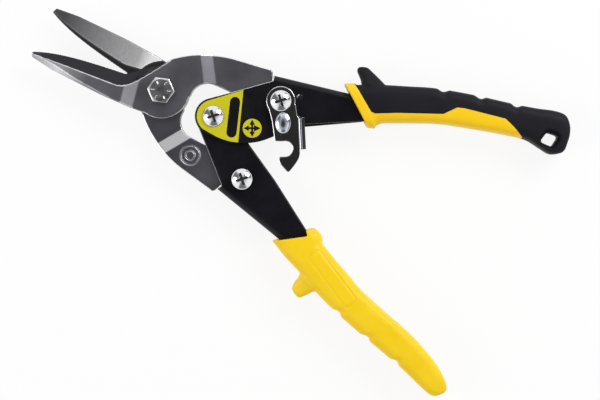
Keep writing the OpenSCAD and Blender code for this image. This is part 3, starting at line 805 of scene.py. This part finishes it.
# Tones of a blade's zones, each laid over the one before, and of the painted highlight on its edges. The
# tip's sheen, the shade on the shearing face and on the slope, the sheen over the hollow ground face's dark
# tone, and the ridge's highlight are painted light
BLADE_TONES = (
    ("TipSheen", (0.84, 0.84, 0.87)), ("ShearShade", (0.07, 0.069, 0.074)), ("Hollow", (0.10, 0.10, 0.105)),
    ("Bright", (0.98, 0.98, 0.99)), ("Slope", (0.038, 0.038, 0.043)), ("RidgeHighlight", (0.95, 0.95, 0.97)))
BLADE_EDGE_HIGHLIGHT = (0.86, 0.86, 0.89)
HOLLOW_ROUGHNESS = 0.62

# Where zones start and are whole along the tool, as x, some with the shares between which they go
JAW_RUN = (-2.5, -4.5)
TIP_RUN = (-33, -52)
TIP_FADE = (-60, -44, 0.25, 1)
HOLLOW_SHEEN_RUN = (-56, -11, 0, 0.56)
HOLLOW_SHEEN_ROOT = (-22, -11.5)
TANG_END = (40.5, 41.5)

# How far faces look outward, or inward below zero, and the tip sheen's share on its chamfer
TURNED_IN = -0.3
FLAT_IN = -0.8
TURNED_OUT = (0.05, 0.2)
FLAT_OUT = (0.86, 0.97)
CHAMFER_SHARE = 0.75

# How far faces lean towards the cutting edge, or away from it below zero
RIDGE_FROM = (0.03, 0.07)
RIDGE_TO = (0.36, 0.30)
SLOPE_LEAN = (0.28, 0.36)
CHAMFER_LEAN = (-0.25, -0.4)

# The height of the hollow from the plane where the blades meet, and how far from it the zones reach
HOLLOW_LEVEL = 0.55
HOLLOW_REACH = 0.2
SHEAR_REACH = 0.8

# The ring on the tang: its place, and the distances and the share by which the painted edge highlight is kept
# off its edges
RING_AT = (25, 20.9)
RING_ROOM = (6.4 * MM, 5.8 * MM)
RING_SHARE = 0.7


def blade_zones_group():
    """Masks of a blade: where the painted edge highlight is kept off, the painted sheen on the tip, the
    painted shade on the shearing face, the hollow ground in that face and the painted sheen on it, the
    painted shade on the slope to the edge, and the painted highlight on the ridge along the slope."""
    group, into, out = shader_group(
        "blade_zones", [("Outer", FLOAT, 1), ("Level", FLOAT, 0), ("Ring", FLOAT, 0)],
        [("Plain", FLOAT)] + [(zone, FLOAT) for zone, _ in BLADE_TONES])
    work = calculator(group)
    spot, facing = own_directions(group)

    def along(start, end, low=0, high=1):
        return soft_step(group, spot["X"], at(start, 0).x, at(end, 0).x, low, high)

    outward = work("MULTIPLY", facing["Z"], into.outputs["Outer"])
    to_edge = work("MULTIPLY", facing["Y"], into.outputs["Outer"])
    depth = work("ABSOLUTE", work("SUBTRACT", spot["Z"], into.outputs["Level"]))
    on_jaw = along(*JAW_RUN)
    on_top = work("MULTIPLY", soft_step(group, outward, *TURNED_OUT), on_jaw)
    inward = work("MULTIPLY", work("LESS_THAN", outward, TURNED_IN), on_jaw)
    shear = work("MULTIPLY", inward, work("LESS_THAN", depth, SHEAR_REACH * MM))
    hollow = work("MULTIPLY", work("LESS_THAN", outward, FLAT_IN),
                  work("LESS_THAN", depth, HOLLOW_REACH * MM))
    # Painted sheen on the hollow ground face, growing from the tip towards the root
    hollow_sheen = work("MAXIMUM", along(*HOLLOW_SHEEN_RUN), along(*HOLLOW_SHEEN_ROOT))
    sheen = work("MINIMUM", along(*TIP_RUN), along(*TIP_FADE))
    tip = work("MULTIPLY", sheen, soft_step(group, outward, *FLAT_OUT, CHAMFER_SHARE, 1))
    ridge = work("MULTIPLY", soft_step(group, to_edge, *RIDGE_FROM), soft_step(group, to_edge, *RIDGE_TO))
    chamfer = work("MULTIPLY", soft_step(group, to_edge, *CHAMFER_LEAN), on_top)
    from_ring = distance_to(work, spot, at(RING_AT[0], 0).x, into.outputs["Ring"])
    by_ring = soft_step(group, from_ring, *RING_ROOM, 0, RING_SHARE)
    # Painted light by zone: sheen on the tip and the hollow, shade on the shearing face and the slope,
    # highlight on the ridge
    masks = {
        "Plain": work("MAXIMUM", work("MAXIMUM", shear, by_ring), work("MAXIMUM", along(*TANG_END), chamfer)),
        "TipSheen": work("MULTIPLY", tip, on_top),
        "ShearShade": shear,
        "Hollow": hollow,
        "Bright": work("MULTIPLY", hollow, hollow_sheen),
        "Slope": work("MULTIPLY", soft_step(group, to_edge, *SLOPE_LEAN), on_top),
        "RidgeHighlight": work("MULTIPLY", ridge, on_top)}
    for zone, mask in masks.items():
        group.links.new(mask, out.inputs[zone])
    return group


GRINDING = grinding_group()
BLADE_ZONES = blade_zones_group()


def blade_finish(name, outer, darkest, lightest):
    """Satin gunmetal with painted highlights on its edges, tip and ridge, a hollow-ground shearing face with
    painted shade and sheen, and painted shade on the slope.
    """
    material = finish(name, darkest, lightest, 0.3, 0.36, metallic=1.0, cloud=60, grain=3500, depth=0.12)
    tree = material.node_tree
    inputs = tree.nodes["Principled BSDF"].inputs
    base, roughness = inputs["Base Color"], inputs["Roughness"]
    zones = group_node(tree, BLADE_ZONES, outer=outer, level=at(0, 0, outer * HOLLOW_LEVEL).z,
                       ring=at(0, outer * RING_AT[1]).y).outputs
    # Painted highlight on the eased edges and leaning bands, kept off where the Plain mask says
    paint_edge_highlight(material, BLADE_EDGE_HIGHLIGHT, zones["Plain"])
    tone = base.links[0].from_socket
    # Lays the zones' tones over the steel: painted sheen, painted shade and painted highlight
    for zone, colour in BLADE_TONES:
        tone = tint(tree, zones[zone], tone, colour)
    streaks = group_node(tree, GRINDING, depth=STREAK_DEPTH).outputs["Mask"]
    ground = calculator(tree)("MULTIPLY", streaks, zones["Hollow"])
    tree.links.new(tint(tree, ground, tone, STREAK_TONE), base)
    rough = blend(tree, zones["Hollow"], roughness.links[0].from_socket, HOLLOW_ROUGHNESS)
    tree.links.new(rough, roughness)
    return material


# The painted highlight on the bolt's rim, and how far from its axis reach the ticks that it is partly kept
# off
BOLT_RIM_HIGHLIGHT = (0.96, 0.96, 0.97)
TICKS_REACH = (5.1 * MM, 4.9 * MM)
TICKS_SHARE = 0.6


def bolt_finish():
    """Dark bolt steel with a painted highlight on its rim, partly kept off the ticks."""
    material = finish("dark_bolt_steel", (0.26, 0.26, 0.27), (0.36, 0.36, 0.37), 0.25, 0.36, metallic=1.0,
                      cloud=300, depth=0.15)
    tree = material.node_tree
    from_axis = distance_to(calculator(tree), own_directions(tree)[0], PIVOT.x, PIVOT.y)
    paint_edge_highlight(material, BOLT_RIM_HIGHLIGHT, soft_step(tree, from_axis, *TICKS_REACH, 0, TICKS_SHARE))
    return material


# What the finishes of the chromed pieces share
CHROMED = {"metallic": 1.0, "cloud": 200, "grain": 1200, "depth": 0.03}

# The latch's sheet, the heights over it where boss and tab start and are whole, and the line past which the
# thumb tab stands: its facing and its distances from the pivot
LATCH_SHEET = 2.0
RAISED = (0.1, 0.25)
TAB_FACING = (0.896, 0.443)
TAB_FROM = (63.7, 64.0)
# The painted shade that darkens the thumb tab, then the raised boss's tone and roughness
TAB_SHADE = (0.085, 0.085, 0.095)
BOSS_TONE = (0.66, 0.70, 0.79)
BOSS_ROUGHNESS = 0.14


def latch_finish():
    """Bright chrome, cloudier on the raised boss, with painted shade on the thumb tab."""
    material = finish("latch_chrome", (0.86, 0.87, 0.90), (0.92, 0.92, 0.94), 0.05, 0.11, **CHROMED)
    tree = material.node_tree
    inputs = tree.nodes["Principled BSDF"].inputs
    base, roughness = inputs["Base Color"], inputs["Roughness"]
    work = calculator(tree)
    spot = own_directions(tree)[0]
    sheet_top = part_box("latch")[0][2] + LATCH_SHEET * MM
    raised = soft_step(tree, spot["Z"], *(sheet_top + height * MM for height in RAISED))
    across = work("ADD", work("MULTIPLY", work("SUBTRACT", spot["X"], PIVOT.x), TAB_FACING[0]),
                  work("MULTIPLY", work("SUBTRACT", spot["Y"], PIVOT.y), TAB_FACING[1]))
    tab = work("MULTIPLY", raised, soft_step(tree, across, *(reach * MM for reach in TAB_FROM)))
    boss = work("SUBTRACT", raised, tab)
    tone = tint(tree, boss, base.links[0].from_socket, BOSS_TONE)
    # Painted shade over the thumb tab
    tree.links.new(tint(tree, tab, tone, TAB_SHADE), base)
    tree.links.new(blend(tree, boss, roughness.links[0].from_socket, BOSS_ROUGHNESS), roughness)
    return material


# Painted highlights on the handles' edges: a grey one, with how far an edge looks to the jaws before it gets
# it, and a bright one, with how far to the jaws and to the upper side an edge looks before it gets that
GREY_EDGE_HIGHLIGHT = (0.27, 0.27, 0.29)
GREY_HIGHLIGHT_AHEAD = (-0.42, -0.32)
BRIGHT_EDGE_HIGHLIGHT = (0.75, 0.74, 0.69)
BRIGHT_HIGHLIGHT_AHEAD = (-0.29, -0.25)
BRIGHT_HIGHLIGHT_ABOVE = (0.32, 0.27)


def handle_finish():
    """Black paint, with a grey painted highlight on the edges towards the jaws and a bright painted highlight
    on those of the upper side.
    """
    material = finish("black_handle_paint", (0.0045, 0.0045, 0.007), (0.007, 0.007, 0.010), 0.24, 0.32,
                      cloud=70, grain=1600, specular=0.25)
    tree = material.node_tree
    facing = own_directions(tree)[1]
    # The edges that the bright painted highlight is kept off
    painted = calculator(tree)("MAXIMUM", soft_step(tree, facing["X"], *BRIGHT_HIGHLIGHT_AHEAD),
                               soft_step(tree, facing["Y"], *BRIGHT_HIGHLIGHT_ABOVE))
    paint_edge_highlight(material, GREY_EDGE_HIGHLIGHT, soft_step(tree, facing["X"], *GREY_HIGHLIGHT_AHEAD))
    paint_edge_highlight(material, BRIGHT_EDGE_HIGHLIGHT, painted)
    return material


# What the finishes of the yellow mouldings share, and those of the label's film
MOULDING = {"cloud": 80, "grain": 2200, "depth": 0.18, "specular": 0.25}
PRINTED = {"cloud": 120, "grain": 900, "depth": 0.05}

near_steel = blade_finish("near_blade_steel", 1, (0.235, 0.231, 0.262), (0.28, 0.276, 0.312))
# The far blade's tones are the near blade's darkened, as painted shade
far_shaded_steel = blade_finish("far_blade_steel", -1, (0.18, 0.177, 0.20), (0.216, 0.212, 0.24))
bolt_steel = bolt_finish()
chrome = finish("bright_chrome", (0.79, 0.80, 0.83), (0.85, 0.85, 0.87), 0.09, 0.15, **CHROMED)
latch_chrome = latch_finish()
zinc = finish("dull_zinc", (0.58, 0.59, 0.61), (0.68, 0.68, 0.69), 0.24, 0.36, metallic=1.0, cloud=250)
spring_wire = finish("oiled_spring_wire", (0.30, 0.30, 0.31), (0.42, 0.41, 0.40), 0.2, 0.32, metallic=1.0,
                     cloud=400)
handle_paint = handle_finish()
warm_yellow = finish("warm_yellow_plastic", (0.915, 0.565, 0.006), (0.94, 0.605, 0.010), 0.36, 0.46,
                     **MOULDING)
lemon_plastic = finish("lower_yellow_plastic", (0.915, 0.605, 0.006), (0.945, 0.655, 0.012), 0.38, 0.48,
                       **MOULDING)
soft_black = finish("soft_black_rubber", (0.006, 0.0055, 0.0085), (0.009, 0.0082, 0.0125), 0.5, 0.62,
                    cloud=80, grain=1800, depth=0.3, specular=0.17)
ring_blue = finish("blue_ring_nylon", (0.02, 0.05, 0.16), (0.03, 0.07, 0.2), 0.4, 0.5, cloud=300)
film_yellow = finish("yellow_label_film", (0.575, 0.53, 0.012), (0.61, 0.56, 0.018), 0.22, 0.3, **PRINTED)
film_black = finish("black_label_film", (0.005, 0.005, 0.006), (0.008, 0.008, 0.010), 0.22, 0.3,
                    specular=0.3, **PRINTED)


# Dressing the model

SCREWS = [f"{pin}_{half}" for pin in ("handle_pivot", "upper_link", "lower_link")
          for half in ("screw", "barrel")]
NODE_FINISH = {
    "near_blade": near_steel, "far_blade": far_shaded_steel, "pivot_bolt": bolt_steel, "pivot_nut": zinc,
    "nut_lock_ring": ring_blue, "upper_handle": handle_paint, "lower_handle": handle_paint,
    "spring_sleeve": zinc, "latch": latch_chrome, "latch_washer": zinc, "latch_catch": zinc,
    **dict.fromkeys(SCREWS, chrome)}

# How far the edges of the screws and barrels are eased
SCREW_EASE = 0.12

# The mesh size and the rounds of smoothing for each piece that is rounded all over
NODE_TUMBLE = {
    "near_blade": (0.25, 9), "far_blade": (0.25, 9), "upper_handle": (0.34, 3), "lower_handle": (0.34, 3),
    "pivot_bolt": (0.13, 12), "pivot_nut": (0.15, 3), "latch": (0.14, 11)}

# The finish and the slot of each colour of film
FILMS = {"yellow": (film_yellow, "yellow_plastic"), "black": (film_black, "handle_paint")}


def wear(obj, material):
    obj.data.materials.clear()
    obj.data.materials.append(material)


def dress(obj, material, body, slot, *stands_for):
    """Gives a new piece its finish, its body and the nodes that it stands for."""
    wear(obj, material)
    smooth_shaded(obj)
    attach(obj, body)
    if stands_for:
        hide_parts(*stands_for)


for node, material in NODE_FINISH.items():
    wear(nodes[node], material)
for node in SCREWS:
    ease_edges(node, SCREW_EASE)
for node, (grain, rounds) in NODE_TUMBLE.items():
    tumble(node, grain, rounds)

core, cover = upper_grip()
dress(core, warm_yellow, "upper_handle", "yellow_plastic", "upper_grip_core")
dress(cover, soft_black, "upper_handle", "black_rubber", "upper_grip_cover")
dress(lower_grip(), lemon_plastic, "lower_handle", "yellow_plastic", "lower_grip")
spring, spring_leg = return_spring()
dress(spring, spring_wire, "upper_handle", "spring_steel", "return_spring")
dress(spring_leg, spring_wire, "lower_handle", "spring_steel")
for piece, colour in label_pieces():
    material, slot = FILMS[colour]
    dress(piece, material, "upper_handle", slot)


# Studio

# The table's half width in metres, its colour, and how much of it reads as plain white
TABLE_REACH = 6.0
TABLE_TONE = (0.9, 0.9, 0.9, 1)
WHITE_SHARE = 0.88


def table_top():
    """A wide pale table that reads as white and keeps a soft shadow."""
    corners = [(x * TABLE_REACH, y * TABLE_REACH, 0) for x, y in ((-1, -1), (1, -1), (1, 1), (-1, 1))]
    mesh = bpy.data.meshes.new("table_top")
    mesh.from_pydata(corners, [], [(0, 1, 2, 3)])
    table = placed("table_top", mesh)
    material = bpy.data.materials.new("pale_table")
    material.use_nodes = True
    tree = material.node_tree
    tree.nodes.remove(tree.nodes["Principled BSDF"])
    matt = tree.nodes.new("ShaderNodeBsdfDiffuse")
    matt.inputs["Color"].default_value = TABLE_TONE
    white = tree.nodes.new("ShaderNodeEmission")
    white.inputs["Strength"].default_value = 1.0
    mix = tree.nodes.new("ShaderNodeMixShader")
    work = calculator(tree)
    rays = tree.nodes.new("ShaderNodeLightPath").outputs
    seen = work("MAXIMUM", rays["Is Camera Ray"], rays["Is Glossy Ray"])
    through = work("MAXIMUM", seen, rays["Is Transmission Ray"])
    link = tree.links.new
    link(work("MULTIPLY", through, WHITE_SHARE), mix.inputs["Fac"])
    link(matt.outputs["BSDF"], mix.inputs[1])
    link(white.outputs["Emission"], mix.inputs[2])
    link(mix.outputs["Shader"], tree.nodes["Material Output"].inputs["Surface"])
    wear(table, material)


# Brightness of the room by the height of the direction looked in, from the horizon to straight up
SKY = ((0.0, 1.0), (0.70, 1.0), (0.82, 0.8), (0.94, 0.5), (0.985, 0.06), (1.0, 0.02))

# Windows round the room, the edges of one, the share of light between them, and the heights of the low wall
# and the ceiling, which have no windows
WINDOWS = 3
WINDOW_EDGE = (-0.5, 0.2)
BETWEEN = 0.18
LOW_WALL = (0.35, 0.15)
CEILING = (0.84, 0.92)


def soft_sky():
    """A white room with windows all round and a dark ceiling, so that flat metal reads dark."""
    world = bpy.data.worlds.new("white_room")
    world.use_nodes = True
    bpy.context.scene.world = world
    tree = world.node_tree
    work = calculator(tree)
    place = tree.nodes.new("ShaderNodeTexCoord")
    way = tree.nodes.new("ShaderNodeSeparateXYZ")
    ramp = tree.nodes.new("ShaderNodeValToRGB")
    while len(ramp.color_ramp.elements) < len(SKY):
        ramp.color_ramp.elements.new(0.5)
    for element, (where, level) in zip(ramp.color_ramp.elements, SKY):
        element.position = where
        element.color = (level, level, level, 1)
    tree.links.new(place.outputs["Generated"], way.inputs["Vector"])
    tree.links.new(way.outputs["Z"], ramp.inputs["Fac"])
    round_about = work("ARCTAN2", way.outputs["Y"], way.outputs["X"])
    wave = work("COSINE", work("MULTIPLY", round_about, WINDOWS))
    windows = soft_step(tree, wave, *WINDOW_EDGE, BETWEEN, 1)
    below = soft_step(tree, way.outputs["Z"], *LOW_WALL)
    above = soft_step(tree, way.outputs["Z"], *CEILING)
    light = work("MAXIMUM", windows, work("MAXIMUM", below, above))
    tree.links.new(work("MULTIPLY", ramp.outputs["Color"], light), tree.nodes["Background"].inputs["Color"])


# Lamps by name: place, diameter in metres and power in watts, all aimed at one place
LAMPS = {"key": ((340, 695, 600), 0.5, 5), "fill": ((-600, -430, 560), 0.6, 2.6)}
LAMP_AIM = at(60, 0)


def softbox(name, place, size, power):
    lamp = bpy.data.lights.new(name, "AREA")
    lamp.shape = "DISK"
    lamp.size = size
    lamp.energy = power
    obj = placed(name, lamp)
    obj.location = place
    obj.rotation_euler = (LAMP_AIM - place).to_track_quat("-Z", "Y").to_euler()


# The camera looks straight down, turned to the tool's slant, with this width of the table across the picture
VIEW_MIDDLE = at(80.1, -16.9)
VIEW_WIDTH = 279.6 * MM
VIEW_TURN = math.radians(26.4)
VIEW_HEIGHT = 0.9
SENSOR = 36


def camera():
    lens = bpy.data.cameras.new("overhead")
    lens.sensor_width = SENSOR
    lens.lens = SENSOR * VIEW_HEIGHT / VIEW_WIDTH
    obj = placed("overhead", lens)
    obj.location = VIEW_MIDDLE + Vector((0, 0, VIEW_HEIGHT))
    obj.rotation_euler = (0, 0, VIEW_TURN)
    bpy.context.scene.camera = obj


table_top()
soft_sky()
for name, (place, size, power) in LAMPS.items():
    softbox(name, at(*place), size, power)
camera()
bpy.context.scene.view_settings.view_transform = "Standard"
